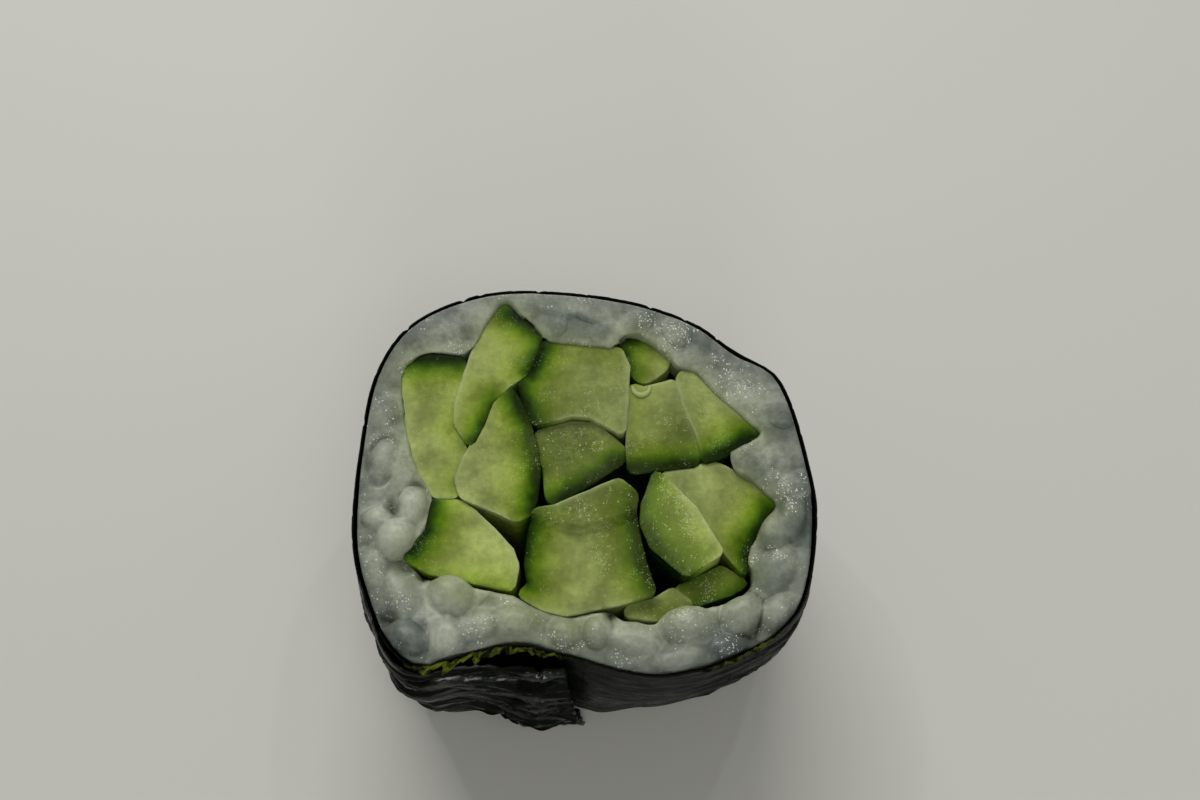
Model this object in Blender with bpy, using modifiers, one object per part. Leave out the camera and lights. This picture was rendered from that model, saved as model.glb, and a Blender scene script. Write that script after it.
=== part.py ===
"""One cut piece of cucumber maki: cucumber batons in a ring of rice, wrapped in one sheet of nori.

The piece stands on its lower cut face. +Z is up, +X runs along the wide side of the cut face,
and -Y is the side where the free end of the nori shows. Lengths below are in millimetres, and
MM turns them into Blender's metres.
"""

import math

import bmesh
import bpy
from mathutils import Vector, noise

MM = 0.001

# Driving dimensions
ROLL_HEIGHT = 20.0
NORI_THICKNESS = 0.35
CLEARANCE = 0.3  # air between neighbouring solids
BASE_TUCK = 1.9  # most that the wall draws in at the base
LEAST_TUCK = 0.25  # share of that on the side where it draws in least
TUCK_DIRECTION = math.radians(-72.0)  # the side where it draws in most
TUCK_REACH = 0.65  # share of the height over which it draws in
BATON_TAPER = 0.95  # size of the filling at the base against the top

# Surface detail
GRAIN_SIZE = 3.2
GRAIN_RELIEF = 0.7
GRAIN_DROP = 0.1  # how far the highest grain sits below the cut
RIM_WAVE = 0.25
RIM_WAVES_ROUND = 5
BATON_EDGE_RADIUS = 0.25
BATON_EDGE_SEGMENTS = 2
BATON_EDGE_ANGLE = math.radians(25.0)

# Mesh fineness
RICE_SEGMENTS = 120
RICE_TOP_LOOPS = 5
REACH_SAMPLES = 4
NORI_STEP_DEG = 5.0
WALL_LEVELS = (0.0, 0.12, 0.3, 0.5, 0.75, 1.0)
CURVE_STEPS = 12
PARALLEL = 1e-9  # below this a ray runs along an edge and does not cross it

# The roll's outline on the top face, anticlockwise from the right: a hand-rolled rounded square
# with a dent where the sheet's free end lies over it.
ROLL_OUTLINE = [
    (15.5, 1.2), (13.7, 7.3), (10.5, 9.5), (7.5, 11.7), (2.5, 13.4), (-4.5, 14.1),
    (-9.0, 13.3), (-12.6, 11.2), (-14.7, 7.6), (-15.5, 2.5), (-15.8, -4.0),
    (-14.6, -8.8), (-13.0, -11.8), (-10.7, -13.2), (-7.8, -12.4), (-4.6, -11.6), (-1.6, -12.2),
    (4.8, -13.8), (10.6, -12.2), (14.6, -9.2), (15.9, -3.5),
]

# The nori starts under its own free end and goes once round, plus this overlap.
NORI_START_DEG = 218.0
NORI_END_TOP_DEG = 625.0
NORI_END_BASE_DEG = 630.5
LIFT_START_DEG = 546.0  # where the second turn begins to climb over the first
LIFT_END_DEG = 574.0
FLAP_CENTRE_DEG = 609.0  # the free end bridges the dent here
FLAP_HALF_WIDTH_DEG = 21.0
FLAP_STANDOFF = 1.0
FLAP_DROP = 0.7  # how far the free end's top edge sits below the rim
FLAP_FLARE = 2.2  # how much farther out the loose end hangs at its base
FLARE_START_DEG = 592.0
FLARE_END_DEG = 618.0

# Each baton: its corners on the top face, the height of its top, and its slope along X and Y.
BATONS = {
    "cucumber_back_left": (
        [(-12.8, 8.4), (-12.0, 9.0), (-10.8, 9.3), (-8.5, 9.0), (-8.4, 7.2), (-9.3, 5.2),
         (-9.1, 4.0), (-8.2, 2.1), (-9.0, 0.1), (-8.6, -1.2), (-10.4, -1.2), (-12.1, 1.7),
         (-12.8, 5.6)],
        19.6, (0.02, 0.02)),
    "cucumber_back_peak": (
        [(-5.6, 12.8), (-4.5, 12.1), (-3.0, 10.8), (-3.4, 9.3), (-4.0, 7.9), (-5.2, 7.0),
         (-6.5, 5.7), (-7.0, 4.1), (-7.9, 2.3), (-9.0, 4.0), (-9.1, 5.4), (-8.0, 9.2),
         (-7.1, 11.5), (-6.3, 12.5)],
        19.7, (-0.02, -0.01)),
    "cucumber_left_middle": (
        [(-5.2, 6.9), (-4.5, 5.7), (-3.9, 4.3), (-3.4, 2.8), (-3.1, 0.7), (-3.3, -1.4),
         (-3.6, -2.4), (-4.7, -3.0), (-5.8, -2.4), (-8.5, -1.3), (-8.9, 0.0), (-8.4, 1.4),
         (-7.9, 2.3), (-7.0, 4.1), (-6.4, 5.7)],
        19.7, (-0.03, 0.0)),
    "cucumber_back_middle": (
        [(-3.0, 10.3), (2.6, 9.7), (3.1, 8.4), (3.0, 5.3), (2.8, 3.3), (1.3, 4.2),
         (0.4, 4.7), (-0.9, 4.8), (-3.6, 4.0), (-4.2, 5.6), (-4.7, 7.2), (-3.7, 8.0)],
        19.6, (0.01, 0.02)),
    "cucumber_centre": (
        [(-3.5, 3.7), (-0.9, 4.5), (0.4, 4.4), (1.3, 3.9), (3.0, 2.3), (2.8, 1.5),
         (-2.0, -1.8), (-2.6, -1.2), (-2.8, 1.0), (-3.1, 2.0)],
        19.0, (0.0, -0.06)),
    "cucumber_back_right_small": (
        [(2.3, 10.5), (3.8, 10.9), (4.7, 10.3), (6.1, 9.1), (5.8, 8.4), (5.0, 7.8),
         (4.1, 7.3), (3.4, 7.9), (2.9, 9.4)],
        19.1, (-0.05, 0.03)),
    "cucumber_right_middle": (
        [(3.2, 7.1), (4.2, 6.8), (6.4, 7.4), (6.9, 5.7), (7.8, 3.3), (8.1, 1.9),
         (7.9, 1.1), (3.1, 0.5), (3.0, 2.4), (3.1, 5.3)],
        19.5, (0.0, 0.02)),
    "cucumber_right_wedge": (
        [(6.9, 8.0), (7.7, 8.1), (9.2, 6.4), (10.7, 4.8), (12.1, 3.2), (9.5, 1.6),
         (8.1, 1.2), (8.2, 1.9), (7.9, 3.3), (6.9, 5.8), (6.5, 7.5)],
        19.6, (0.02, 0.0)),
    "cucumber_front_right_block": (
        [(4.9, 0.6), (6.3, -0.7), (7.7, -2.2), (8.5, -3.7), (9.5, -5.3), (6.9, -7.0),
         (4.6, -4.9), (3.9, -3.3), (4.0, -1.9)],
        20.0, (0.01, -0.02)),
    "cucumber_right_front": (
        [(5.3, 0.6), (9.2, 1.3), (9.8, 1.0), (11.4, 0.0), (13.0, -1.7), (12.4, -3.0),
         (11.3, -4.9), (11.1, -6.9), (9.9, -5.4), (8.5, -3.6), (7.7, -2.1), (6.3, -0.6)],
        19.3, (0.0, 0.02)),
    "cucumber_front_middle": (
        [(-3.4, -2.3), (-2.0, -2.1), (2.4, -0.1), (3.7, -1.2), (3.5, -2.3), (4.1, -5.6),
         (4.9, -8.0), (2.4, -8.7), (-1.3, -9.5), (-2.8, -9.1), (-4.5, -8.1), (-3.7, -7.3),
         (-4.0, -6.0), (-3.7, -3.7)],
        19.8, (0.0, 0.02)),
    "cucumber_front_left": (
        [(-10.4, -1.3), (-8.5, -1.5), (-7.5, -2.2), (-6.2, -3.5), (-4.9, -4.9), (-4.5, -6.0),
         (-4.8, -7.8), (-7.7, -7.2), (-10.5, -6.6), (-12.0, -5.6), (-10.8, -3.6)],
        19.4, (-0.03, 0.0)),
    "cucumber_front_right_low": (
        [(6.1, -7.3), (6.9, -7.1), (9.4, -5.8), (11.3, -7.0), (10.2, -7.7), (7.7, -8.5)],
        18.2, (0.0, 0.05)),
    "cucumber_front_low": (
        [(3.0, -8.6), (4.9, -8.1), (6.1, -7.4), (7.6, -8.6), (5.1, -9.6), (2.7, -9.4)],
        18.4, (-0.02, 0.05)),
}

# Finishes
NORI_COLOUR = (0.012, 0.02, 0.014)
NORI_ROUGHNESS = 0.45
RICE_COLOUR = (0.62, 0.68, 0.66)
RICE_ROUGHNESS = 0.35
CUCUMBER_COLOUR = (0.22, 0.36, 0.09)
CUCUMBER_ROUGHNESS = 0.3


# ---------------------------------------------------------------- plan geometry

def smooth_step(low, high, value):
    """0 below low, 1 above high, and a smooth climb between them."""
    share = min(1.0, max(0.0, (value - low) / (high - low)))
    return share * share * (3.0 - 2.0 * share)


def closed_curve(corners, steps):
    """A smooth closed curve through the corners (Catmull-Rom), as a list of 2D points."""
    count = len(corners)
    points = []
    for index in range(count):
        a, b, c, d = (Vector(corners[(index + k - 1) % count]) for k in range(4))
        for step in range(steps):
            t = step / steps
            points.append(0.5 * (2 * b + (c - a) * t + (2 * a - 5 * b + 4 * c - d) * t ** 2
                                 + (3 * b - a - 3 * c + d) * t ** 3))
    return points


def reach(outline, angle):
    """Distance from the roll's axis to the farthest crossing of the outline at this angle, or 0."""
    ray = Vector((math.cos(angle), math.sin(angle)))
    farthest = 0.0
    for start, end in zip(outline, outline[1:] + outline[:1]):
        start, end = Vector(start), Vector(end)
        edge = end - start
        turn = ray.cross(edge)
        if abs(turn) < PARALLEL:
            continue
        along_edge = start.cross(ray) / turn
        along_ray = start.cross(edge) / turn
        if 0.0 <= along_edge <= 1.0:
            farthest = max(farthest, along_ray)
    return farthest


def tuck(level, angle):
    """How far the wall is drawn in at this share of the height, and at this side of the roll."""
    nearness = (0.5 + 0.5 * math.cos(angle - TUCK_DIRECTION)) ** 2
    side = LEAST_TUCK + (1.0 - LEAST_TUCK) * nearness
    return BASE_TUCK * side * (1.0 - smooth_step(0.0, TUCK_REACH, level))


def plan_point(angle, radius, height):
    """A point in metres from its angle, radius and height in millimetres."""
    return Vector((radius * math.cos(angle), radius * math.sin(angle), height)) * MM


def inset_outline(corners, distance):
    """The corners of an anticlockwise outline moved inwards, each edge by the same distance."""
    moved = []
    count = len(corners)
    for index in range(count):
        before, here, after = (Vector(corners[(index + k) % count]) for k in (-1, 0, 1))
        edge_in = (here - before).normalized()
        edge_out = (after - here).normalized()
        inward = Vector((-edge_in.y, edge_in.x)) + Vector((-edge_out.y, edge_out.x))
        moved.append(here + inward * distance / (1.0 + edge_in.dot(edge_out)))
    return moved


def signed_area(corners):
    """Twice the outline's area, positive when it runs anticlockwise."""
    return sum(a[0] * b[1] - b[0] * a[1] for a, b in zip(corners, corners[1:] + corners[:1]))


def anticlockwise(corners):
    """The same outline, running anticlockwise."""
    return corners if signed_area(corners) > 0 else corners[::-1]


# ---------------------------------------------------------------- scene helpers

def clear_scene():
    """Remove whatever the new file starts with."""
    for obj in list(bpy.data.objects):
        bpy.data.objects.remove(obj)


def make_collection(name):
    """A collection linked to the scene."""
    collection = bpy.data.collections.new(name)
    bpy.context.scene.collection.children.link(collection)
    return collection


def make_material(name, colour, roughness):
    """A plain finish of one colour."""
    material = bpy.data.materials.new(name)
    material.use_nodes = True
    shader = material.node_tree.nodes["Principled BSDF"]
    shader.inputs["Base Color"].default_value = (*colour, 1.0)
    shader.inputs["Roughness"].default_value = roughness
    shader.inputs["Metallic"].default_value = 0.0
    return material


def make_object(name, bm, material, collection):
    """An object from a finished bmesh, its faces turned outwards."""
    mesh = bpy.data.meshes.new(name)
    bmesh.ops.recalc_face_normals(bm, faces=bm.faces)
    bm.to_mesh(mesh)
    bm.free()
    mesh.materials.append(material)
    obj = bpy.data.objects.new(name, mesh)
    collection.objects.link(obj)
    return obj


# ---------------------------------------------------------------- the pieces

def make_baton(name, corners, top, slope, material, collection):
    """A cucumber baton: a prism on its outline, a little narrower at the base, with a sloped top."""
    outline = inset_outline(anticlockwise(corners), CLEARANCE / 2)
    middle = sum(outline, Vector((0.0, 0.0))) / len(outline)
    bm = bmesh.new()
    base = bm.faces.new([bm.verts.new((*(p * BATON_TAPER * MM), 0.0)) for p in outline])
    raised = bmesh.ops.extrude_face_region(bm, geom=[base])["geom"]
    for vert in (item for item in raised if isinstance(item, bmesh.types.BMVert)):
        x, y = vert.co.x / BATON_TAPER, vert.co.y / BATON_TAPER
        rise = slope[0] * (x / MM - middle.x) + slope[1] * (y / MM - middle.y)
        vert.co = (x, y, (top + rise) * MM)
    obj = make_object(name, bm, material, collection)
    bevel = obj.modifiers.new("rounded_edges", "BEVEL")
    bevel.width = BATON_EDGE_RADIUS * MM
    bevel.segments = BATON_EDGE_SEGMENTS
    bevel.limit_method = "ANGLE"
    bevel.angle_limit = BATON_EDGE_ANGLE
    return obj


def filling_reach(angle, spread):
    """How far the whole filling reaches from the axis, within the spread of this angle."""
    outlines = [anticlockwise(corners) for corners, _, _ in BATONS.values()]
    turns = [spread * k / REACH_SAMPLES for k in range(-REACH_SAMPLES, REACH_SAMPLES + 1)]
    return max(reach(outline, angle + turn) for outline in outlines for turn in turns)


def loft(bm, lower, upper, closed):
    """A band of four-sided faces between two rows of vertices."""
    pairs = list(zip(lower, upper))
    for (a, d), (b, c) in zip(pairs, pairs[1:] + pairs[:1] if closed else pairs[1:]):
        bm.faces.new((a, b, c, d))


def grain_height(x, y):
    """Height of the lumpy top of the rice: a dome over each grain, a crease between grains."""
    distance = noise.voronoi(Vector((x, y, 0.0)) / GRAIN_SIZE)[0][0]
    return ROLL_HEIGHT - GRAIN_DROP - GRAIN_RELIEF * distance


def ring(angles, radii, height_of):
    """One closed row of points round the roll, at these radii and at the height of each point."""
    points = []
    for angle, radius in zip(angles, radii):
        height = height_of(radius * math.cos(angle), radius * math.sin(angle))
        points.append(plan_point(angle, radius, height))
    return points


def make_rice(outline, material, collection):
    """The rice ring: it fills the space between the filling and the nori, with a lumpy top."""
    angles = [math.tau * k / RICE_SEGMENTS for k in range(RICE_SEGMENTS)]
    inner = [filling_reach(angle, math.tau / RICE_SEGMENTS) + CLEARANCE for angle in angles]
    inside_nori = inset_outline(outline, NORI_THICKNESS + CLEARANCE)
    outer = [reach(inside_nori, angle) for angle in angles]

    sections = []
    for level in WALL_LEVELS[:-1]:
        radii = [r - tuck(level, angle) for r, angle in zip(outer, angles)]
        sections.append(ring(angles, radii, lambda x, y: level * ROLL_HEIGHT))
    for k in range(RICE_TOP_LOOPS + 1):
        share = k / RICE_TOP_LOOPS
        radii = [r_out + (r_in - r_out) * share for r_out, r_in in zip(outer, inner)]
        sections.append(ring(angles, radii, grain_height))
    sections.append(ring(angles, [r * BATON_TAPER for r in inner], lambda x, y: 0.0))

    bm = bmesh.new()
    rows = [[bm.verts.new(point) for point in section] for section in sections]
    for lower, upper in zip(rows, rows[1:] + rows[:1]):
        loft(bm, lower, upper, closed=True)
    return make_object("rice", bm, material, collection)


def nori_lift(degrees, level):
    """How far outside the first turn the sheet lies: 0 on the first turn, more on the overlap."""
    climb = smooth_step(LIFT_START_DEG, LIFT_END_DEG, degrees) * (NORI_THICKNESS + CLEARANCE)
    away = abs(degrees - FLAP_CENTRE_DEG) / FLAP_HALF_WIDTH_DEG
    flare = FLAP_FLARE * smooth_step(FLARE_START_DEG, FLARE_END_DEG, degrees) * (1.0 - level)
    return climb + flare + FLAP_STANDOFF * (1.0 - smooth_step(0.0, 1.0, away))


def make_nori(outline, material, collection):
    """The nori: one sheet round the rice, its free end lapped over its start in front."""
    columns = round((NORI_END_TOP_DEG - NORI_START_DEG) / NORI_STEP_DEG)
    bm = bmesh.new()
    rows = []
    for level in WALL_LEVELS:
        end = NORI_END_BASE_DEG + (NORI_END_TOP_DEG - NORI_END_BASE_DEG) * level
        row = []
        for k in range(columns + 1):
            degrees = NORI_START_DEG + (end - NORI_START_DEG) * k / columns
            angle = math.radians(degrees)
            radius = reach(outline, angle) - tuck(level, angle) + nori_lift(degrees, level)
            drop = FLAP_DROP * smooth_step(LIFT_END_DEG, FLAP_CENTRE_DEG, degrees)
            wave = RIM_WAVE * math.sin(RIM_WAVES_ROUND * angle)
            height = (ROLL_HEIGHT - RIM_WAVE - drop + wave) * level
            row.append(bm.verts.new(plan_point(angle, radius, height)))
        rows.append(row)
    for lower, upper in zip(rows, rows[1:]):
        loft(bm, lower, upper, closed=False)
    obj = make_object("nori", bm, material, collection)
    solidify = obj.modifiers.new("sheet_thickness", "SOLIDIFY")
    solidify.thickness = NORI_THICKNESS * MM
    solidify.offset = -1.0
    solidify.use_even_offset = True
    return obj


def main():
    clear_scene()
    roll = make_collection("cucumber_maki_roll")
    nori_material = make_material("nori", NORI_COLOUR, NORI_ROUGHNESS)
    rice_material = make_material("rice", RICE_COLOUR, RICE_ROUGHNESS)
    cucumber_material = make_material("cucumber", CUCUMBER_COLOUR, CUCUMBER_ROUGHNESS)
    outline = closed_curve(ROLL_OUTLINE, CURVE_STEPS)
    make_nori(outline, nori_material, roll)
    make_rice(outline, rice_material, roll)
    for name, (corners, top, slope) in BATONS.items():
        make_baton(name, corners, top, slope, cucumber_material, roll)


main()
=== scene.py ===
# %% [markdown]
# # A cut piece of cucumber maki
#
# This lesson dresses a plain model of a maki roll as food: cucumber batons with a green skin side,
# pressed rice and a wrapped sheet of nori. The plain model gives every size and place. Each piece
# is built again over its plain solid, with the surface that the real food has.

# %% Load the plain model and note its box
import math
import random

import bmesh
import bpy
from mathutils import Euler, Matrix, Vector, noise
from mathutils.bvhtree import BVHTree
from mathutils.kdtree import KDTree


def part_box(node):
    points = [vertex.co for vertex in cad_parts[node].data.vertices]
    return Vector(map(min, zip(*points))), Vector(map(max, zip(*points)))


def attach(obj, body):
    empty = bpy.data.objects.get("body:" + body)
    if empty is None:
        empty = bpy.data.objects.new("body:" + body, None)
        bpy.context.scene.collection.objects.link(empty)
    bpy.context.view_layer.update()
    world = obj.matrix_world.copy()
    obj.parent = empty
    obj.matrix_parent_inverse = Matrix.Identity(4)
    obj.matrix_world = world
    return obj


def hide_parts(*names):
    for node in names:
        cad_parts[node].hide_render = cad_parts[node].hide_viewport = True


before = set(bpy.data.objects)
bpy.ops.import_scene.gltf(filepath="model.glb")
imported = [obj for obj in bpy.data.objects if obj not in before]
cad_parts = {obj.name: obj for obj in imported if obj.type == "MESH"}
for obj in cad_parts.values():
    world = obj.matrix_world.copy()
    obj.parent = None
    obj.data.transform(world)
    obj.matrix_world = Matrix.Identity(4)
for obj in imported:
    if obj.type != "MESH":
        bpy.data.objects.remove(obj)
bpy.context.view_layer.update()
MM = 0.001

# %% [markdown]
# ## Camera, floor and light
#
# The roll is looked at steeply from the front, so that the cut face shows nearly flat and the
# front wall shows as a narrow band. A camera needs a place, a tilt and a lens. It could be aimed
# with a constraint, but a plain tilt about X is easier to read.

# %% Camera
CAMERA_PLACE = (1.10 * MM, -39.4 * MM, 144.0 * MM)
CAMERA_TILT = math.radians(20.0)
LENS = 56.55


def add_camera():
    data = bpy.data.cameras.new("camera")
    data.lens = LENS
    data.clip_start = 1.0 * MM
    camera = bpy.data.objects.new("camera", data)
    camera.location = CAMERA_PLACE
    camera.rotation_euler = (CAMERA_TILT, 0.0, 0.0)
    bpy.context.scene.collection.objects.link(camera)
    bpy.context.scene.camera = camera
    return camera


print("camera at", tuple(add_camera().location))

# %% [markdown]
# The floor is one pale, faintly glossy sheet. The gloss gives the soft dark reflection that a wet
# piece of food has under it on a plate. A large square is enough, because nothing else stands on it.

# %% Floor
FLOOR_SIDE = 1.5
FLOOR_COLOUR = (0.62, 0.62, 0.575)
FLOOR_ROUGHNESS = 0.45


def plain_material(name, colour, roughness):
    material = bpy.data.materials.new(name)
    material.use_nodes = True
    shader = material.node_tree.nodes["Principled BSDF"]
    shader.inputs["Base Color"].default_value = (*colour, 1.0)
    shader.inputs["Roughness"].default_value = roughness
    return material


def add_floor():
    bm = bmesh.new()
    bmesh.ops.create_grid(bm, x_segments=1, y_segments=1, size=FLOOR_SIDE / 2)
    mesh = bpy.data.meshes.new("floor")
    bm.to_mesh(mesh)
    bm.free()
    mesh.materials.append(plain_material("floor", FLOOR_COLOUR, FLOOR_ROUGHNESS))
    floor = bpy.data.objects.new("floor", mesh)
    bpy.context.scene.collection.objects.link(floor)


add_floor()
print("floor side in metres:", FLOOR_SIDE)

# %% [markdown]
# The light is soft and comes mostly from above and behind, so the front wall stays dark and its
# wet creases catch a little of the pale room. Big area lamps give soft shadows; a few small ones
# far away give wet food its sparkle.

# %% Lamps and room
ROOM_COLOUR = (1.0, 0.99, 0.96)
ROOM_STRENGTH = 0.17
SOFT_LAMPS = [  # name, place in metres, side in metres, power in watts, colour
    ("back_lamp", (-0.22, 1.30, 1.38), 1.2, 20.5, (1.0, 0.985, 0.95)),
    ("over_lamp", (0.25, -0.55, 1.60), 0.8, 4.6, (1.0, 0.99, 0.96)),
    ("front_lamp", (0.10, -1.40, 0.50), 0.4, 3.0, (1.0, 1.0, 1.0)),
]
SPARKLE_LAMPS = [
    ("sparkle_left", (-0.35, 0.45, 0.75), 0.03, 0.35, (1.0, 1.0, 1.0)),
    ("sparkle_right", (0.30, 0.50, 0.80), 0.03, 0.35, (1.0, 1.0, 1.0)),
]


def add_lamp(name, place, side, power, colour):
    data = bpy.data.lights.new(name, "AREA")
    data.size = side
    data.energy = power
    data.color = colour
    lamp = bpy.data.objects.new(name, data)
    lamp.location = place
    lamp.rotation_euler = Vector(place).to_track_quat("Z", "Y").to_euler()
    bpy.context.scene.collection.objects.link(lamp)


for lamp_facts in SOFT_LAMPS + SPARKLE_LAMPS:
    add_lamp(*lamp_facts)
room = bpy.data.worlds.new("room")
room.use_nodes = True
room.node_tree.nodes["Background"].inputs["Color"].default_value = (*ROOM_COLOUR, 1.0)
room.node_tree.nodes["Background"].inputs["Strength"].default_value = ROOM_STRENGTH
bpy.context.scene.world = room
bpy.context.scene.view_settings.view_transform = "Standard"
print("lamps:", len(SOFT_LAMPS + SPARKLE_LAMPS))

# %% [markdown]
# ## Tools for every piece
#
# Each piece starts as a bmesh, gets its shape, then becomes an object that rides on the roll and
# stands for one plain solid. Colour that depends on where a point lies in the piece, such as how
# far it is from the skin, is worked out once for each point and stored as a named number that the
# material reads. That is easier to steer than a texture, because it follows the food's own shape.

# %% Finishing a piece
WELD = 0.005 * MM  # points closer than this are one point
CUT_WELD = 0.001 * MM
FLAT_ENOUGH = math.radians(2.0)  # faces that meet at less than this are one face


def add_piece(bm, name, material, node):
    mesh = bpy.data.meshes.new(name)
    bm.to_mesh(mesh)
    bm.free()
    mesh.shade_smooth()
    mesh.materials.append(material)
    piece = bpy.data.objects.new(name, mesh)
    bpy.context.scene.collection.objects.link(piece)
    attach(piece, "root")
    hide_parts(node)
    mesh.calc_loop_triangles()
    print(name, len(mesh.loop_triangles), "triangles")
    return piece


def store(bm, name, number_at):
    """Store a number on every point of the mesh, under a name that a material can read."""
    layer = bm.verts.layers.float.new(name)
    for vert in bm.verts:
        vert[layer] = number_at(vert)


def smooth_step(low, high, value):
    share = min(1.0, max(0.0, (value - low) / (high - low)))
    return share * share * (3.0 - 2.0 * share)


def dabs_at(x, y, dabs):
    """The sum of soft round dabs, each (x, y, radius, strength), at a place in plan."""
    return sum(strength * math.exp(-((x - cx) ** 2 + (y - cy) ** 2) / radius ** 2)
               for cx, cy, radius, strength in dabs)


def merged_copy(node):
    """A bmesh of a plain solid with its loose triangles joined and its flat faces whole again."""
    bm = bmesh.new()
    bm.from_mesh(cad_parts[node].data)
    bmesh.ops.remove_doubles(bm, verts=bm.verts, dist=WELD)
    bmesh.ops.dissolve_limit(bm, angle_limit=FLAT_ENOUGH, verts=bm.verts, edges=bm.edges)
    return bm


def slice_along(bm, axis, places):
    """Cut the mesh across one axis at each of these places, to give it points to shape."""
    normal = Vector((0.0, 0.0, 0.0))
    normal[axis] = 1.0
    for place in places:
        geometry = bm.verts[:] + bm.edges[:] + bm.faces[:]
        bmesh.ops.bisect_plane(bm, geom=geometry, dist=CUT_WELD, plane_co=normal * place,
                               plane_no=normal)


def steps_between(low, high, spacing):
    count = max(1, round((high - low) / spacing))
    return [low + (high - low) * k / count for k in range(1, count)]


# %% [markdown]
# ## Material tools
#
# A node tree is easier to write with small helpers: one adds a node and sets it, and the others
# make a colour ramp, a sum, a mix or a noise, and return the socket that the next step reads.

# %% Node helpers
def add_node(tree, kind, values=None, **settings):
    node = tree.nodes.new(kind)
    for key, value in settings.items():
        setattr(node, key, value)
    for key, value in (values or {}).items():
        node.inputs[key].default_value = value
    return node


def add_ramp(tree, fac, stops):
    """A colour ramp through (place, colour) stops, fed by a socket."""
    ramp = add_node(tree, "ShaderNodeValToRGB")
    elements = ramp.color_ramp.elements
    while len(elements) < len(stops):
        elements.new(0.5)
    for element, (place, colour) in zip(elements, stops):
        element.position = place
        element.color = (*colour, 1.0) if isinstance(colour, tuple) else (colour,) * 3 + (1.0,)
    tree.links.new(fac, ramp.inputs["Fac"])
    return ramp.outputs["Color"]


def read_number(tree, name):
    return add_node(tree, "ShaderNodeAttribute", attribute_name=name).outputs["Fac"]


def math_node(tree, operation, first, second, clamp=False):
    node = add_node(tree, "ShaderNodeMath", operation=operation, use_clamp=clamp)
    for socket, value in zip(node.inputs, (first, second)):
        if isinstance(value, bpy.types.NodeSocket):
            tree.links.new(value, socket)
        else:
            socket.default_value = value
    return node.outputs["Value"]


def scale_and_add(tree, value, factor, extra):
    node = add_node(tree, "ShaderNodeMath", {1: factor, 2: extra}, operation="MULTIPLY_ADD")
    tree.links.new(value, node.inputs[0])
    return node.outputs["Value"]


def mix_colours(tree, fac, first, second, blend="MIX"):
    node = add_node(tree, "ShaderNodeMix", data_type="RGBA", blend_type=blend)
    colour_inputs = [socket for socket in node.inputs if socket.type == "RGBA"]
    for socket, value in zip([node.inputs["Factor"]] + colour_inputs, (fac, first, second)):
        if isinstance(value, bpy.types.NodeSocket):
            tree.links.new(value, socket)
        elif isinstance(value, tuple):
            socket.default_value = (*value, 1.0)
        else:
            socket.default_value = value
    return next(socket for socket in node.outputs if socket.type == "RGBA")


def object_place(tree):
    return add_node(tree, "ShaderNodeTexCoord").outputs["Object"]


def noise_at(tree, place, scale, detail=2.0, roughness=0.5):
    node = add_node(tree, "ShaderNodeTexNoise", {"Detail": detail, "Roughness": roughness})
    if isinstance(scale, bpy.types.NodeSocket):
        tree.links.new(scale, node.inputs["Scale"])
    else:
        node.inputs["Scale"].default_value = scale
    tree.links.new(place, node.inputs["Vector"])
    return node.outputs["Fac"]


def add_bump(tree, height, distance, strength, shader):
    bump = add_node(tree, "ShaderNodeBump", {"Strength": strength, "Distance": distance})
    tree.links.new(height, bump.inputs["Height"])
    tree.links.new(bump.outputs["Normal"], shader.inputs["Normal"])


# %% [markdown]
# Two effects are used in more than one material, so each is a node group, built once. *Painted glints* are
# the tiny bright points that lamps make on moist cut food, painted into the colour as scattered dots that
# come in clusters. *Moist relief* is the fine unevenness under the wet film.

# %% Painted glints
GLINT_DOT_SIZE = 0.40  # share of a cell that a dot takes up
CLUSTER_CONTRAST, CLUSTER_SHIFT = 4.5, -2.35  # how sharply the clusters of dots are bounded


def new_group(name, inputs, outputs):
    group = bpy.data.node_groups.new(name, "ShaderNodeTree")
    for label, value in inputs:
        socket = group.interface.new_socket(label, in_out="INPUT", socket_type="NodeSocketFloat")
        socket.default_value = value
    for label in outputs:
        group.interface.new_socket(label, in_out="OUTPUT", socket_type="NodeSocketFloat")
    return group, add_node(group, "NodeGroupInput"), add_node(group, "NodeGroupOutput")


def make_painted_glints():
    group, given, result = new_group("painted_glints", [("Scale", 9000.0), ("Cluster Scale", 700.0)],
                                     ["Mask"])
    place = object_place(group)
    cells = add_node(group, "ShaderNodeTexVoronoi")
    group.links.new(given.outputs["Scale"], cells.inputs["Scale"])
    group.links.new(place, cells.inputs["Vector"])
    dot = math_node(group, "LESS_THAN", cells.outputs["Distance"], GLINT_DOT_SIZE)
    chance = add_node(group, "ShaderNodeSeparateColor")
    group.links.new(cells.outputs["Color"], chance.inputs["Color"])
    cluster = noise_at(group, place, given.outputs["Cluster Scale"])
    share_shown = scale_and_add(group, cluster, CLUSTER_CONTRAST, CLUSTER_SHIFT)
    picked = math_node(group, "LESS_THAN", chance.outputs["Red"], share_shown)
    bright = math_node(group, "MULTIPLY", chance.outputs["Green"], chance.outputs["Green"])
    shown = math_node(group, "MULTIPLY", dot, picked)
    group.links.new(math_node(group, "MULTIPLY", shown, bright), result.inputs["Mask"])
    return group


PAINTED_GLINTS = make_painted_glints()
print("group:", PAINTED_GLINTS.name)

# %% Moist relief
FINE_TIMES, FINE_SHARE = 5.0, 0.35  # how much finer the second noise is, and how much it counts


def make_moist_relief():
    group, given, result = new_group("moist_relief", [("Scale", 900.0)], ["Height"])
    place = object_place(group)
    coarse = noise_at(group, place, given.outputs["Scale"], detail=3.0)
    fine_scale = math_node(group, "MULTIPLY", given.outputs["Scale"], FINE_TIMES)
    fine = noise_at(group, place, fine_scale, detail=2.0)
    faint = math_node(group, "MULTIPLY", fine, FINE_SHARE)
    group.links.new(math_node(group, "ADD", coarse, faint), result.inputs["Height"])
    return group


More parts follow.
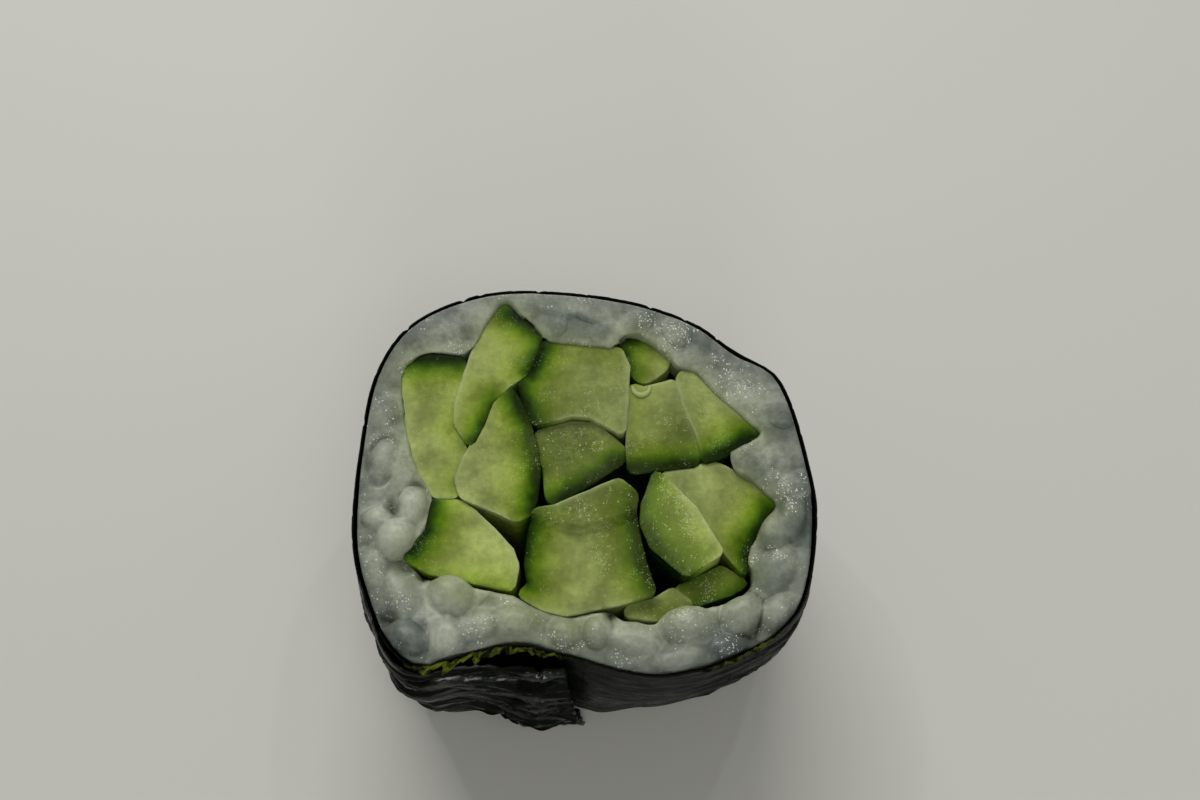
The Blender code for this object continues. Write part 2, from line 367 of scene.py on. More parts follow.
MOIST_RELIEF = make_moist_relief()
print("group:", MOIST_RELIEF.name)


def use_group(tree, group, **values):
    """Place a group in a material with its own values, and return its one output."""
    node = add_node(tree, "ShaderNodeGroup", node_tree=group)
    for key, value in values.items():
        node.inputs[key.replace("_", " ")].default_value = value
    return node.outputs[0]


# %% [markdown]
# ## Cucumber
#
# Each baton is a straight stick of cucumber with dark skin on some of its sides. On the cut face
# the colour runs from nearly black green at the skin, through a narrow vivid band, to pale flesh.
# The distance from the skin is stored on every point as *skin_depth* in millimetres, and a colour ramp
# turns it into colour. Frosted patches, where the knife broke the cells, are stored too, and so is a
# painted highlight: the bright thin rim of the cut. One flat pattern could be laid over the baton instead,
# but it would slide over the corners and would not know where the skin is.

# %% Cucumber material
FLESH_STOPS = [  # share of SKIN_REACH, colour
    (0.0, (0.009, 0.024, 0.001)), (0.04, (0.021, 0.054, 0.002)), (0.08, (0.042, 0.100, 0.003)),
    (0.12, (0.080, 0.168, 0.006)), (0.16, (0.125, 0.220, 0.010)), (0.20, (0.172, 0.278, 0.017)),
    (0.28, (0.250, 0.345, 0.042)), (0.40, (0.325, 0.410, 0.085)), (0.60, (0.365, 0.435, 0.125)),
    (1.0, (0.380, 0.445, 0.155)),
]
SKIN_REACH = 5.0  # millimetres over which the colour changes
SKIN_WANDER = 0.8  # millimetres by which its bands wander
FROST_COLOUR = (0.105, 0.150, 0.030)
FROST_GLINT_COLOUR = (0.62, 0.74, 0.36)
RIM_HIGHLIGHT_COLOUR = (0.50, 0.58, 0.28)
CUCUMBER_GLINT_COLOUR = (0.72, 0.80, 0.55)


def cut_flesh(tree, place):
    """The colour of the flesh from its skin depth, with fine mottling and broad blotches."""
    wander = math_node(tree, "SUBTRACT", noise_at(tree, place, scale=700.0, detail=4.0), 0.5)
    depth = math_node(tree, "ADD", read_number(tree, "skin_depth"),
                      math_node(tree, "MULTIPLY", wander, SKIN_WANDER))
    flesh = add_ramp(tree, math_node(tree, "DIVIDE", depth, SKIN_REACH), FLESH_STOPS)
    mottle = noise_at(tree, place, scale=2600.0, detail=4.0, roughness=0.65)
    blotch = noise_at(tree, place, scale=480.0, detail=2.0)
    for pattern, stops in ((mottle, [(0.3, 0.82), (0.7, 1.12)]), (blotch, [(0.34, 0.66), (0.64, 1.13)])):
        flesh = mix_colours(tree, 1.0, flesh, add_ramp(tree, pattern, stops), "MULTIPLY")
    return flesh


def make_cucumber_material():
    material = plain_material("cucumber", FLESH_STOPS[-1][1], 0.25)
    tree = material.node_tree
    shader = tree.nodes["Principled BSDF"]
    place = object_place(tree)
    flesh = cut_flesh(tree, place)
    frost = read_number(tree, "frost")
    patchy = noise_at(tree, place, scale=3200.0, detail=4.0, roughness=0.75)
    frosting = math_node(tree, "MULTIPLY", math_node(tree, "MULTIPLY", frost, patchy), 1.5, clamp=True)
    flesh = mix_colours(tree, frosting, flesh, FROST_COLOUR)
    tone = add_node(tree, "ShaderNodeCombineColor")
    for socket in tone.inputs:
        tree.links.new(read_number(tree, "tone"), socket)
    flesh = mix_colours(tree, 1.0, flesh, tone.outputs["Color"], "MULTIPLY")
    # Painted highlight: a bright thin line along the rim of the cut face, and over the whole curled
    # shaving.
    rim = math_node(tree, "MULTIPLY", read_number(tree, "rim"), 0.55)
    flesh = mix_colours(tree, rim, flesh, RIM_HIGHLIGHT_COLOUR)
    # Painted glints: bright dots on the cut face, more of them where it is frosted.
    glints = use_group(tree, PAINTED_GLINTS, Scale=9500.0, Cluster_Scale=520.0)
    glints = math_node(tree, "MULTIPLY", glints, scale_and_add(tree, frost, 0.8, 0.25))
    flesh = mix_colours(tree, glints, flesh, CUCUMBER_GLINT_COLOUR)
    # Painted glints in the frosted patches: bright dots in close clusters.
    frost_glints = use_group(tree, PAINTED_GLINTS, Scale=8500.0, Cluster_Scale=2600.0)
    frost_glints = math_node(tree, "MULTIPLY", frost, frost_glints)
    flesh = mix_colours(tree, frost_glints, flesh, FROST_GLINT_COLOUR)
    tree.links.new(flesh, shader.inputs["Base Color"])
    shader.inputs["Subsurface Weight"].default_value = 0.3
    shader.inputs["Subsurface Radius"].default_value = (0.9, 1.0, 0.15)
    shader.inputs["Subsurface Scale"].default_value = 0.5 * MM
    shader.inputs["Specular IOR Level"].default_value = 0.05
    relief = use_group(tree, MOIST_RELIEF, Scale=1600.0)
    add_bump(tree, relief, distance=0.06 * MM, strength=0.5, shader=shader)
    return material


CUCUMBER = make_cucumber_material()
print("material:", CUCUMBER.name)

# %% [markdown]
# Where each baton has its skin is a list of compass directions, in degrees anticlockwise from +X,
# each with how far under the surface the skin seems to lie. Frost dabs are circles on the cut
# face: a place, a radius and a strength.

# %% Where the skin, the frost and the tone are
SKINS = {  # baton: [(direction in degrees, extra depth in mm)], tone
    "cucumber_back_left": ([(95, -0.25), (15, 1.4)], 1.0),
    "cucumber_back_peak": ([(38, 0.0), (-15, 0.3)], 0.94),
    "cucumber_left_middle": ([(5, 0.0)], 1.0),
    "cucumber_back_middle": ([(185, -0.1), (95, 1.4)], 0.90),
    "cucumber_centre": ([(-60, -0.4), (-150, 1.0)], 0.88),
    "cucumber_back_right_small": ([(100, 0.0), (150, 0.2), (-135, 0.4)], 0.85),
    "cucumber_right_middle": ([(-88, -0.3), (180, 1.6)], 0.81),
    "cucumber_right_wedge": ([(-60, -0.2), (-85, 0.1)], 0.93),
    "cucumber_front_right_block": ([(205, -0.3), (160, 0.2)], 1.40),
    "cucumber_right_front": ([(-30, 0.0)], 0.92),
    "cucumber_front_middle": ([(180, 0.2), (-8, -0.1)], 0.90),
    "cucumber_front_left": ([(150, 0.0), (-120, 1.2)], 1.14),
    "cucumber_front_right_low": ([(-45, 0.5), (90, 0.8)], 1.0),
    "cucumber_front_low": ([(-60, 1.5)], 0.95),
}
SKIN_SPREAD = math.radians(28.0)
FROST_DABS = [  # x, y, radius, strength, in millimetres on the cut face
    (-0.5, 3.2, 2.6, 1.0), (-2.0, 2.4, 1.6, 0.7), (6.5, 4.5, 1.8, 0.7), (7.5, 3.0, 1.2, 0.5),
    (5.6, -1.9, 2.0, 0.8), (7.2, -5.6, 1.6, 0.9), (6.0, -3.6, 1.8, 0.5), (0.6, 6.6, 1.8, 0.45),
    (2.4, -5.2, 1.7, 0.75), (1.0, -3.4, 1.4, 0.3), (-10.6, 6.8, 1.4, 0.5), (8.6, -7.4, 2.0, 0.6),
    (4.6, -9.0, 2.0, 0.8), (-5.0, 3.0, 1.2, 0.25), (3.4, -0.4, 1.6, 0.6),
]


def frost_at(x, y):
    """How frosted the cut face is here, from 0 to 1, with x and y in millimetres."""
    return min(1.0, dabs_at(x, y, FROST_DABS))


print("batons:", len(SKINS), "frost dabs:", len(FROST_DABS))

# %% [markdown]
# A baton's sides are read from its plain solid: each upright face gives one edge of its outline
# and the way that it faces. A point's skin depth is its distance from the edges that face a skin
# direction. Distances from several edges are blended softly, so that no hard line shows.

# %% Reading a baton's outline
UPRIGHT = 0.35  # a face whose normal rises less than this is a side
LEAST_SIDE = 0.6 * MM  # sides narrower than this are rounded corners
SOFTNESS = 0.2  # millimetres over which two distances blend


def outline_sides(bm):
    """Each side of a baton as (start, end, facing), in plan and in millimetres."""
    sides = []
    for face in bm.faces:
        top = sorted(face.verts, key=lambda v: v.co.z)[-2:]
        start, end = (v.co.xy / MM for v in top)
        if abs(face.normal.z) < UPRIGHT and (end - start).length * MM > LEAST_SIDE:
            sides.append((start, end, math.atan2(face.normal.y, face.normal.x)))
    return sides


def turn_between(a, b):
    return abs((a - b + math.pi) % math.tau - math.pi)


def distance_to_side(point, start, end):
    along = end - start
    share = min(1.0, max(0.0, (point - start).dot(along) / along.length_squared))
    return (point - start - along * share).length


def soft_least(distances):
    total = sum(math.exp(-d / SOFTNESS) for d in distances)
    return -SOFTNESS * math.log(total) if total > 1e-12 else max(distances)


# %% [markdown]
# The strip along the back of the front middle baton stands a little proud of the rest, where the
# knife came through at two heights. It is drawn as a closed outline, and points inside it rise. A
# second solid on top would need a seam, and here the flesh is one.

# %% The raised strip
STRIP = [(-3.9, -2.1), (-0.4, -0.9), (2.3, 0.5), (3.3, -0.3), (4.1, -1.4), (3.9, -2.3), (2.6, -2.9),
         (0.9, -3.4), (-0.4, -3.7), (-2.0, -3.3), (-3.9, -2.6)]
STRIP_BATON = "cucumber_front_middle"
STRIP_RISE = 0.75  # millimetres from the rest of the cut face up to the strip
STRIP_EDGE = 0.14
STRIP_FROST = 0.8


def inside(point, corners):
    """Whether a plan point lies inside a closed outline."""
    hit = False
    for (ax, ay), (bx, by) in zip(corners, corners[1:] + corners[:1]):
        if (ay > point.y) != (by > point.y):
            hit ^= point.x < ax + (point.y - ay) / (by - ay) * (bx - ax)
    return hit


def strip_share(point):
    """1 well inside the strip, 0 well outside, and a quick climb at its edge."""
    sides = zip(STRIP, STRIP[1:] + STRIP[:1])
    gap = min(distance_to_side(point, Vector(a), Vector(b)) for a, b in sides)
    return smooth_step(-STRIP_EDGE, STRIP_EDGE, gap if inside(point, STRIP) else -gap)


# %% [markdown]
# A baton starts as a merged copy of its plain solid, because that has the right outline, slope and
# rounded rims. It is grown sideways until it touches its neighbours, its rim is sharpened as a
# fresh cut is, and it is sliced into small faces near the cut. Remeshing it would be quicker but
# would blunt its rims.

# %% Shaping a baton
SIDE_GROWTH = 0.24 * MM
RIM_GROWTH = 0.16 * MM  # how much farther the rim of the cut face moves, which sharpens it
RIM_DEPTH = 0.3 * MM
RIM_LEFT = 0.15  # share of the rim's rounding that is left
SLICE = 0.25 * MM
DEEP_SLICE = 1.6 * MM
CUT_ZONE = 2.4 * MM  # how deep the finely sliced zone reaches
LEVEL = 0.9  # a face whose normal rises more than this is a cut face
PULLS = {  # baton: corner on the cut face, how far it is drawn out, over what radius
    "cucumber_back_peak": ((-5.6, 12.8), (0.0, 0.6), 1.8),
    "cucumber_right_wedge": ((12.1, 3.2), (0.45, 0.1), 1.5),
    "cucumber_right_front": ((13.0, -1.7), (0.4, 0.0), 1.5),
    "cucumber_front_left": ((-12.0, -5.6), (-0.35, 0.0), 1.5),
}
NO_PULL = ((0.0, 0.0), (0.0, 0.0), 1.0)


def sharpen_rim(bm):
    """Lift the rounded rim of the cut face nearly level with the face, as a fresh cut is."""
    face = max((f for f in bm.faces if f.normal.z > LEVEL), key=lambda f: f.calc_area())
    spot, way = face.calc_center_median(), face.normal.copy()
    for vert in bm.verts:
        level = spot.z - (vert.co.xy - spot.xy).dot(way.xy) / way.z
        under = level - vert.co.z
        if 0.0 < under < RIM_DEPTH:
            vert.co.z = level - under * RIM_LEFT


def shape_baton(node):
    """The baton's mesh and the sides of its outline."""
    bm = merged_copy(node)
    low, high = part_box(node)
    for vert in bm.verts:
        outwards = Vector((vert.normal.x, vert.normal.y, 0.0)).normalized()
        vert.co += outwards * (SIDE_GROWTH + RIM_GROWTH * max(0.0, vert.normal.z))
    bm.normal_update()
    sides = outline_sides(bm)
    sharpen_rim(bm)
    corner, pull, radius = PULLS.get(node, NO_PULL)
    for vert in bm.verts:
        gap = (vert.co.xy / MM - Vector(corner)).length
        vert.co.xy += Vector(pull) * MM * (1.0 - smooth_step(0.0, radius, gap))
    slice_along(bm, 0, steps_between(low.x, high.x, SLICE))
    slice_along(bm, 1, steps_between(low.y, high.y, SLICE))
    slice_along(bm, 2, steps_between(high.z - CUT_ZONE, high.z, SLICE))
    slice_along(bm, 2, steps_between(low.z, high.z - CUT_ZONE, DEEP_SLICE))
    bm.normal_update()
    return bm, sides


print("slices near the cut, in mm:", SLICE / MM)

# %% [markdown]
# One corner of the right middle baton keeps a small curled shaving, which the knife lifted and
# didn't cut off. A round disc is spun part of the way round an upright axis, as a bent tube is
# made, and then thinned towards both ends.

# %% The curled shaving
HOOK_BATON = "cucumber_right_middle"
HOOK_PLACE = (4.0, 6.85)  # the middle of the bend in plan, in millimetres
HOOK_BEND, HOOK_THICKNESS = 0.60, 0.21  # radius of the bend and of the shaving, in millimetres
HOOK_START, HOOK_TURN = 175.0, 200.0  # degrees
HOOK_STEPS, HOOK_SIDES = 10, 8
HOOK_REACH = 1.5  # millimetres within which the baton's highest point gives the hook's height
HOOK_END = 0.08  # how near to a point the ends taper: 0 is a point
HOOK_BLUNTNESS = 0.4


def add_hook(bm):
    """A thin curled shaving: a disc spun part of the way round, with thin ends."""
    height = max(v.co.z for v in bm.verts if (v.co.xy / MM - Vector(HOOK_PLACE)).length < HOOK_REACH)
    centre = Vector((HOOK_PLACE[0] * MM, HOOK_PLACE[1] * MM, height))
    old = set(bm.verts)
    place = (Matrix.Translation(centre) @ Matrix.Rotation(math.radians(HOOK_START), 4, "Z")
             @ Matrix.Translation((HOOK_BEND * MM, 0.0, 0.0))
             @ Matrix.Rotation(math.radians(90.0), 4, "X"))
    disc = bmesh.ops.create_circle(bm, cap_ends=True, segments=HOOK_SIDES,
                                   radius=HOOK_THICKNESS * MM, matrix=place)["verts"]
    parts = disc + list({edge for vert in disc for edge in vert.link_edges}) + disc[0].link_faces[:]
    bmesh.ops.spin(bm, geom=parts, cent=centre, axis=(0.0, 0.0, 1.0), angle=math.radians(HOOK_TURN),
                   steps=HOOK_STEPS)
    curl = [vert for vert in bm.verts if vert not in old]
    for vert in curl:
        way = Vector((vert.co.x - centre.x, vert.co.y - centre.y, 0.0)).normalized()
        turned = (math.degrees(math.atan2(way.y, way.x)) - HOOK_START + 1.0) % 360.0
        share = HOOK_END + (1.0 - 2.0 * HOOK_END) * (turned / (HOOK_TURN + 2.0))
        middle = centre + way * HOOK_BEND * MM
        vert.co = middle + (vert.co - middle) * math.sin(math.pi * share) ** HOOK_BLUNTNESS
    bmesh.ops.recalc_face_normals(bm, faces=list({face for vert in curl for face in vert.link_faces}))


print("the shaving sits on", HOOK_BATON)

# %% [markdown]
# With its shape settled, a baton gets the numbers that its material reads. They are worked out in
# plan, as if it were cut level at its top, so that the skin bands run straight down its sides. Then
# the faint waves that a knife leaves are added, and the piece is finished.

# %% Making the batons
TAPER = 0.95  # width of the roll at its base, as a share of its width at the top
RIM_HIGHLIGHT_WIDTH = 0.15  # millimetres
RIM_HIGHLIGHT_ZONE = (0.8 * MM, 0.2 * MM)  # below the top, where the painted rim highlight fades in
FLESH_DEPTH = (0.8, 2.2)  # skin depths between which the painted rim highlight grows from none to full
HOOK_FADE = 0.1 * MM
KNIFE_WAVE = 0.045 * MM
COARSE_WAVE, FINE_WAVE, FINE_WAVE_SHARE = 1.5 * MM, 0.5 * MM, 0.4
FROST_FACING = (0.2, 0.8)  # frost sets in as the surface turns up to face the knife


def baton_numbers(node, sides, skins, hook_from):
    """Three functions of a point: its skin depth, how bright its painted rim highlight is, and its frost.
    """
    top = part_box(node)[1].z
    skin_sides = [(start, end, extra) for degrees, extra in skins for start, end, way in sides
                  if turn_between(way, math.radians(degrees)) < SKIN_SPREAD]

    def plan(vert):
        return vert.co.xy / MM / (TAPER + (1.0 - TAPER) * min(1.0, vert.co.z / top))

    def skin_depth(vert):
        point = plan(vert)
        return soft_least([distance_to_side(point, a, b) + extra for a, b, extra in skin_sides])

    def rim(vert):
        point = plan(vert)
        edge = min(distance_to_side(point, a, b) for a, b, _ in sides)
        lit = smooth_step(top - RIM_HIGHLIGHT_ZONE[0], top - RIM_HIGHLIGHT_ZONE[1], vert.co.z)
        # The curled shaving is painted with the full rim highlight.
        curled = smooth_step(hook_from, hook_from + HOOK_FADE, vert.co.z)
        return max(curled, math.exp(-edge / RIM_HIGHLIGHT_WIDTH) * lit * smooth_step(*FLESH_DEPTH, skin_depth(vert)))

    def frost(vert):
        x, y = plan(vert)
        strip = STRIP_FROST * strip_share(plan(vert)) if node == STRIP_BATON else 0.0
        return max(strip, frost_at(x, y)) * smooth_step(*FROST_FACING, vert.normal.z)

    return plan, {"skin_depth": skin_depth, "rim": rim, "frost": frost}


def finish_baton(node, skins, tone):
    bm, sides = shape_baton(node)
    hook_from = max(vert.co.z for vert in bm.verts)
    if node == HOOK_BATON:
        add_hook(bm)
    plan, numbers = baton_numbers(node, sides, skins, hook_from)
    for name, number_at in numbers.items():
        store(bm, name, number_at)
    store(bm, "tone", lambda vert: tone)
    strip_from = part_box(node)[1].z - CUT_ZONE
    for vert in bm.verts:
        wave = noise.noise(vert.co / COARSE_WAVE) + FINE_WAVE_SHARE * noise.noise(vert.co / FINE_WAVE)
        vert.co += vert.normal * wave * KNIFE_WAVE
        if node == STRIP_BATON and vert.co.z > strip_from:
            vert.co.z += STRIP_RISE * MM * (strip_share(plan(vert)) - 0.5)
    for vert in bm.verts:
        vert.co.z = max(0.0, vert.co.z)
    return add_piece(bm, node.replace("cucumber_", "cucumber_baton_"), CUCUMBER, node)


BATONS = [finish_baton(baton, skins, tone) for baton, (skins, tone) in SKINS.items()]

# %% [markdown]
# ## Rice
#
# Cooked sushi rice is plump short grains, pressed until they stick. At the cut face the knife has
# sliced and smeared them, so they look fused, with soft creases between. Loose grains on a plain
# ring would look like beads, so real grains are laid close together, overlapping, over a smaller
# core, and a voxel remesh fuses them into one skin.
#
# First the script finds how much room there is: from the plain rice's outer wall, by shooting a
# ray at it, and from the finished batons, by looking up their nearest point.

# %% Room for the rice
NORI_GAP = 0.45  # millimetres from the plain rice's wall to the inside of the nori
WALL_LOW, WALL_TOP = 0.3, 18.0  # the plain wall is read between these heights, off its rims
RAY_START = 0.04  # metres, well outside the roll
RAY_TOP = 30.0
RING_FLOOR = 15.0  # a plain top lower than this isn't the ring's
FILLING_LOW, FILLING_TOP = 1.5, 17.0  # between these heights the batons' sides are upright
RICE_WALL = BVHTree.FromObject(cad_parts["rice"], bpy.context.evaluated_depsgraph_get())


def wall_radius(angle, height):
    """Millimetres from the axis to the plain rice's outer wall, at this angle and height."""
    way = Vector((math.cos(angle), math.sin(angle), 0.0))
    start = way * RAY_START + Vector((0.0, 0.0, min(max(height, WALL_LOW), WALL_TOP) * MM))
    return RICE_WALL.ray_cast(start, -way)[0].xy.length / MM


def filling_tree():
    """The finished batons as one tree, so that the rice can be fitted to them."""
    bm = bmesh.new()
    for baton in BATONS:
        bm.from_mesh(baton.data)
    tree = BVHTree.FromBMesh(bm)
    bm.free()
    return tree


FILLING = filling_tree()


def filling_gap(x, y, height):
    """Millimetres from the cucumber, in plan, and less than 0 inside it."""
    point = Vector((x, y, height)) * MM
    spot, normal, _, distance = FILLING.find_nearest(point)
    return distance / MM if (point - spot).dot(normal) > 0.0 else -distance / MM


def side_gap(x, y, height):
    """The gap to the upright sides of the batons, for a height that may lie at a cut face."""
    return filling_gap(x, y, min(max(height, FILLING_LOW), FILLING_TOP))


def in_ring(x, y):
    """Whether the plain rice's top lies under this place, so that nothing strays into the filling."""
    spot = RICE_WALL.ray_cast(Vector((x, y, RAY_TOP)) * MM, Vector((0.0, 0.0, -1.0)))[0]
    return spot is not None and spot.z > RING_FLOOR * MM


print("rice wall at the right, in mm:", round(wall_radius(0.0, 10.0), 2))

# %% [markdown]
# Grains that stand out are listed one by one: a place, half width, half length, heading, how far the long
# way tips up, and how far the grain rises above the knife's cut. The rest are scattered with a fixed seed,
# never closer than their widths allow, and thinner where the ring is narrow. A particle system would
# scatter them too, but it wouldn't know the room that each grain has.

# %% Grains listed one by one
# Each is (x, y, half width, half length, heading, tip, rise), in millimetres and degrees.
PROUD_GRAINS = [  # grains that escaped the knife and stand proud of the cut
    (-12.9, -4.1, 1.45, 1.60, 60, 0, 0.66), (-11.9, -1.9, 1.15, 1.60, 75, 5, 0.40),
    (-14.2, -2.7, 0.80, 1.20, 10, 0, 0.25), (7.0, -10.2, 1.45, 2.20, 8, 6, 0.55),
    (10.7, -9.5, 1.40, 1.70, 40, 5, 0.45), (-9.0, -8.1, 1.60, 1.80, -35, 0, 0.40),
    (0.9, -10.7, 1.00, 1.20, 80, 0, 0.35), (-11.9, -11.0, 1.25, 1.80, -30, 0, 0.25),
    (13.1, -6.3, 1.60, 2.20, 60, 4, 0.30), (-14.0, 1.4, 1.10, 1.9, 78, 0, 0.25),
]
PROUD_TINTS = [2.3, 1.2, 1.0, 0.9, 0.8, 0.9, 1.0, 0.2, 0.7, 0.8]  # 1 is pale, 0 is deep
HAND_GRAINS = [  # grains that the knife pressed nearly level
    (-12.5, 0.9, 0.85, 1.9, 80, 0, 0.1),
    (-12.6, -7.8, 1.35, 2.4, -76, 5, 0.0), (-4.5, -10.0, 1.35, 2.2, -5, 0, 0.1),
    (-1.4, -10.7, 1.15, 1.4, -20, 8, 0.0), (-7.2, -10.2, 1.20, 1.9, 15, 0, 0.0),
    (3.4, -11.2, 1.40, 2.2, -10, 0, 0.1), (9.8, -11.6, 1.10, 1.5, 25, 0, 0.1),
    (6.4, -12.6, 1.00, 2.0, 10, 0, 0.2), (13.0, -9.3, 1.10, 1.7, 60, 10, 0.0),
    (13.3, 1.5, 1.20, 1.8, 40, 0, 0.15), (11.6, 4.6, 1.30, 2.1, 130, 0, 0.15),
    (14.4, -2.4, 0.95, 2.1, 85, 0, 0.2),
]
print("grains by hand:", len(PROUD_GRAINS), "proud and", len(HAND_GRAINS), "pressed")

# %% Scattering the rest
FIELD_X, FIELD_Y = 16.0, 14.5  # half the sides of the field that the grains are scattered over
GRAIN_TRIES = 5000
WIDEST_GRAIN = 1.6
LEAST_ROOM = 0.75
OVERHANG = 0.35  # how much wider than its room a grain may be
CLOSENESS = 0.88  # neighbours overlap a little
FAT_GRAIN = 1.2  # a grain with a half width over this lies in any direction
THIN_TURN, FAT_TURN = 50.0, 310.0  # how far a grain's heading strays from the way round the roll
TIP = 40.0
GRAIN_FILL, FILL_SPREAD = 0.85, 0.2  # least share of its room that a grain fills, and how it varies
GRAIN_LENGTH, LENGTH_SPREAD = 1.25, 0.6  # least length in widths, and how it varies
GRAIN_RISE, RISE_SPREAD, SMEARED_RISE = 0.05, 0.45, 0.55  # how far its top passes the knife's cut
BACK_FROM, BACK_TO = -2.5, 1.5  # over this stretch of Y the knife's smear sets in


def smear_at(y):
    """0 at the front, where grains stand out, and 1 at the back, where the knife smeared them."""
    return smooth_step(BACK_FROM, BACK_TO, y)


def lay_grains(seed, height, hand_grains):
    """The grains of one layer, the given ones first."""
    chance = random.Random(seed)
    grains = list(hand_grains)
    for _ in range(GRAIN_TRIES):
        x, y = chance.uniform(-FIELD_X, FIELD_X), chance.uniform(-FIELD_Y, FIELD_Y)
        wall = wall_radius(math.atan2(y, x), height) + NORI_GAP - math.hypot(x, y)
        room = min(wall, filling_gap(x, y, height)) if in_ring(x, y) else 0.0
        size, turn, tip, lift = (chance.random() for _ in range(4))
        if room < LEAST_ROOM:
            continue
        half = min(WIDEST_GRAIN, room + OVERHANG) * (GRAIN_FILL + FILL_SPREAD * size)
        if any(math.hypot(x - g[0], y - g[1]) < CLOSENESS * (half + g[2]) for g in grains):
            continue
        stray = FAT_TURN if half > FAT_GRAIN else THIN_TURN
        heading = math.degrees(math.atan2(y, x)) + 90.0 + (turn - 0.5) * stray
        rise = (GRAIN_RISE + RISE_SPREAD * lift) + SMEARED_RISE * smear_at(y)
        length = half * (GRAIN_LENGTH + LENGTH_SPREAD * size)
        grains.append((x, y, half, length, heading, (tip - 0.5) * TIP, rise))
    return grains


TOP_GRAINS = lay_grains(11, WALL_TOP, PROUD_GRAINS + HAND_GRAINS)
BASE_GRAINS = lay_grains(23, FILLING_LOW, [])
print("grains:", len(TOP_GRAINS), "at the top,", len(BASE_GRAINS), "at the base")

# %% [markdown]
# A grain is a round ball, stretched, turned and set down so that it just passes the knife's cut.
# Under each layer lies a bed, a slice of the plain rice grown out to the nori and the cucumber, so
# that no hole opens between the grains. At the front right the bed stops short, and the round
# grains alone reach the cucumber, which gives the ring its scalloped inner edge there.

# %% Making the grains and their bed
RICE_TOP = 19.9
GRAIN_RINGS, GRAIN_SIDES = 8, 12
BED_DROP = 0.30  # how far the bed lies under the knife's cut
BED_GROWTH = 0.55  # how far it spreads, to touch the nori and the cucumber
BED_DEPTH = 2.5
SCALLOPED = -6.0  # in front of this Y the bed spreads less on the cucumber's side
SCALLOP_LEFT, SCALLOP_RIGHT = 0.22, -0.05  # how far it spreads there at the left and at the right
SCALLOP_FADE = 3.0  # millimetres of X over which the left changes into the right


def grain_matrix(grain, upwards):
    x, y, half, length, heading, tip, rise = grain
    centre = RICE_TOP + rise - half if upwards else half - rise
    turn = Euler((0.0, math.radians(-tip), math.radians(heading)), "XYZ").to_matrix().to_4x4()
    size = Matrix.Diagonal((length * MM, half * MM, half * MM, 1.0))
    return Matrix.Translation(Vector((x, y, centre)) * MM) @ turn @ size


GRAIN_PLACES = ([grain_matrix(grain, True) for grain in TOP_GRAINS]
                + [grain_matrix(grain, False) for grain in BASE_GRAINS])
GRAIN_INVERSES = [place.inverted() for place in GRAIN_PLACES]


def add_bed(bm, upwards):
    """A slab of the plain rice under one layer of grains."""
    slab = merged_copy("rice")
    height = (RICE_TOP - BED_DEPTH if upwards else BED_DEPTH) * MM
    geometry = slab.verts[:] + slab.edges[:] + slab.faces[:]
    cut = bmesh.ops.bisect_plane(slab, geom=geometry, dist=CUT_WELD, plane_no=(0.0, 0.0, 1.0),
                                 plane_co=(0.0, 0.0, height), clear_inner=upwards,
                                 clear_outer=not upwards)
    loops = [edge for edge in cut["geom_cut"] if isinstance(edge, bmesh.types.BMEdge)]
    bmesh.ops.bridge_loops(slab, edges=loops)
    slab.normal_update()
    for vert in slab.verts:
        outwards = Vector((vert.normal.x, vert.normal.y, 0.0)).normalized()
        inner = outwards.dot(vert.co) < 0.0 and vert.co.y < SCALLOPED * MM
        rightward = smooth_step(0.0, SCALLOP_FADE * MM, vert.co.x)
        scallop = SCALLOP_LEFT + (SCALLOP_RIGHT - SCALLOP_LEFT) * rightward
        vert.co += outwards * (scallop if inner else BED_GROWTH) * MM
        vert.co.z += (-BED_DROP if upwards else BED_DROP) * MM
    mesh = bpy.data.meshes.new("bed")
    slab.to_mesh(mesh)
    slab.free()
    bm.from_mesh(mesh)
    bpy.data.meshes.remove(mesh)


def grains_bmesh():
    bm = bmesh.new()
    add_bed(bm, True)
    add_bed(bm, False)
    for place in GRAIN_PLACES:
        bmesh.ops.create_uvsphere(bm, u_segments=GRAIN_SIDES, v_segments=GRAIN_RINGS, radius=1.0,
                                  matrix=place)
    return bm


print("grain places:", len(GRAIN_PLACES))

# %% Fusing the grains
def voxel_fused(bm, voxel):
    """The same shape as one closed skin, made by a voxel remesh."""
    mesh = bpy.data.meshes.new("to_fuse")
    bm.to_mesh(mesh)
    bm.free()
    holder = bpy.data.objects.new("to_fuse", mesh)
    bpy.context.scene.collection.objects.link(holder)
    remesh = holder.modifiers.new("fuse", "REMESH")
    remesh.mode = "VOXEL"
    remesh.voxel_size = voxel
    fused = bmesh.new()
    fused.from_object(holder, bpy.context.evaluated_depsgraph_get())
    bpy.data.objects.remove(holder)
    bpy.data.meshes.remove(mesh)
    return fused


# %% [markdown]
# After the grains are fused, the knife's cut is made by squeezing everything above the cut plane
# towards it, which leaves a part of each grain's swell in front and hardly any at the back. Proud
# grains keep their shape. A few dents are pressed in, points that would pass through the nori are
# drawn in, and points over a baton sink below it. Cutting with a plane would leave it too flat.

